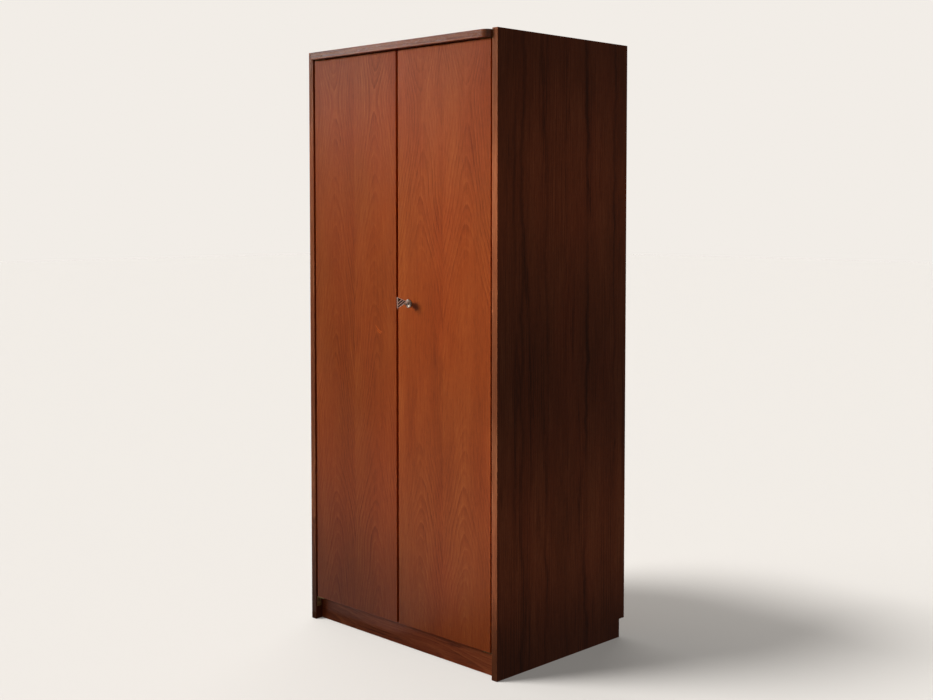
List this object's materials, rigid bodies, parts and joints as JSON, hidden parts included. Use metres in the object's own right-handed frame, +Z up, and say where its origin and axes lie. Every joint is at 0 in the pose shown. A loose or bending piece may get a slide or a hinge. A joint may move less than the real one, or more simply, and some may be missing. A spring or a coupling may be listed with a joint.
{
  "type": "wardrobe",
  "caption": "Tall narrow teak wardrobe with flush doors on pivot hinges, a proud rounded top rail, a recessed plinth, a fan-shaped key in a round rosette, a hanging rail and shelves.",
  "frame": {"origin": "on the floor, under the middle of the object's box, key included", "axes": "+Z up, front towards -Y, +X to the right when looking at the doors"},
  "size_m": [0.8, 0.598, 1.76],
  "materials": {
    "door_teak": "satin oiled veneer",
    "side_teak": "satin oiled veneer",
    "solid_teak": "satin oiled solid wood",
    "inner_wood": "matt veneer",
    "plywood": "raw plywood",
    "brass": "aged",
    "nickel": "worn nickel plate",
    "steel": "zinc plated"
  },
  "bodies": {
    "cabinet": {"left_side_panel": "side_teak", "right_side_panel": "side_teak", "top_panel": "side_teak", "top_rail": "solid_teak", "door_stop_lath": "inner_wood", "bottom_panel": "inner_wood", "front_plinth": "door_teak", "rear_plinth": "inner_wood", "back_panel": "plywood", "partition": "inner_wood", "hat_shelf": "inner_wood", "shelf_1": "inner_wood", "shelf_2": "inner_wood", "shelf_3": "inner_wood", "shelf_4": "inner_wood", "shelf_1_pin_left_front": "brass", "shelf_1_pin_left_back": "brass", "shelf_1_pin_right_front": "brass", "shelf_1_pin_right_back": "brass", "shelf_2_pin_left_front": "brass", "shelf_2_pin_left_back": "brass", "shelf_2_pin_right_front": "brass", "shelf_2_pin_right_back": "brass", "shelf_3_pin_left_front": "brass", "shelf_3_pin_left_back": "brass", "shelf_3_pin_right_front": "brass", "shelf_3_pin_right_back": "brass", "shelf_4_pin_left_front": "brass", "shelf_4_pin_left_back": "brass", "shelf_4_pin_right_front": "brass", "shelf_4_pin_right_back": "brass", "hanging_rail": "steel", "rail_socket_left": "steel", "rail_socket_right": "steel", "upper_left_pivot_leaf": "brass", "upper_right_pivot_leaf": "brass", "lower_left_pivot_bracket": "brass", "lower_right_pivot_bracket": "brass", "upper_bolt_keeper": "brass", "lower_bolt_keeper": "brass"},
    "left_door": {"left_door": "door_teak", "meeting_strip": "solid_teak", "strike_plate": "brass", "upper_left_door_leaf": "brass", "lower_left_door_leaf": "brass", "upper_bolt_housing": "brass", "lower_bolt_housing": "brass"},
    "upper_bolt": {"upper_bolt_bar": "brass"},
    "lower_bolt": {"lower_bolt_bar": "brass"},
    "right_door": {"right_door": "door_teak", "upper_right_door_leaf": "brass", "lower_right_door_leaf": "brass", "escutcheon": "nickel", "lock_case": "steel"},
    "lock_bolt": {"lock_bolt": "brass"},
    "lock_follower": {"lock_follower": "brass"},
    "key": {"key": "nickel"}
  },
  "joints": [
    {"name": "left_door_hinge", "type": "hinge", "parent": "cabinet", "child": "left_door", "pos_m": [-0.3635, -0.244, 0.9], "axis": [0, 0, -1], "range_deg": [0, 110]},
    {"name": "right_door_hinge", "type": "hinge", "parent": "cabinet", "child": "right_door", "pos_m": [0.3635, -0.244, 0.9], "axis": [0, 0, 1], "range_deg": [0, 110]},
    {"name": "upper_bolt_slide", "type": "slide", "parent": "left_door", "child": "upper_bolt", "axis": [0, 0, 1], "range_m": [0, 0.015]},
    {"name": "lower_bolt_slide", "type": "slide", "parent": "left_door", "child": "lower_bolt", "axis": [0, 0, -1], "range_m": [0, 0.015]},
    {"name": "key_turn", "type": "hinge", "parent": "right_door", "child": "lock_follower", "pos_m": [0.049, -0.256, 1.0145], "axis": [0, -1, 0], "range_deg": [0, 360]},
    {"name": "lock_bolt_slide", "type": "slide", "parent": "right_door", "child": "lock_bolt", "axis": [-1, 0, 0], "range_m": [0, 0.012]},
    {"name": "key_withdraw", "type": "slide", "parent": "lock_follower", "child": "key", "axis": [0, -1, 0], "range_m": [0, 0.045]}
  ],
  "couplings": [
    {"joint": "key_turn", "follows": "lock_bolt_slide", "rad_per_m": 523.59}
  ]
}
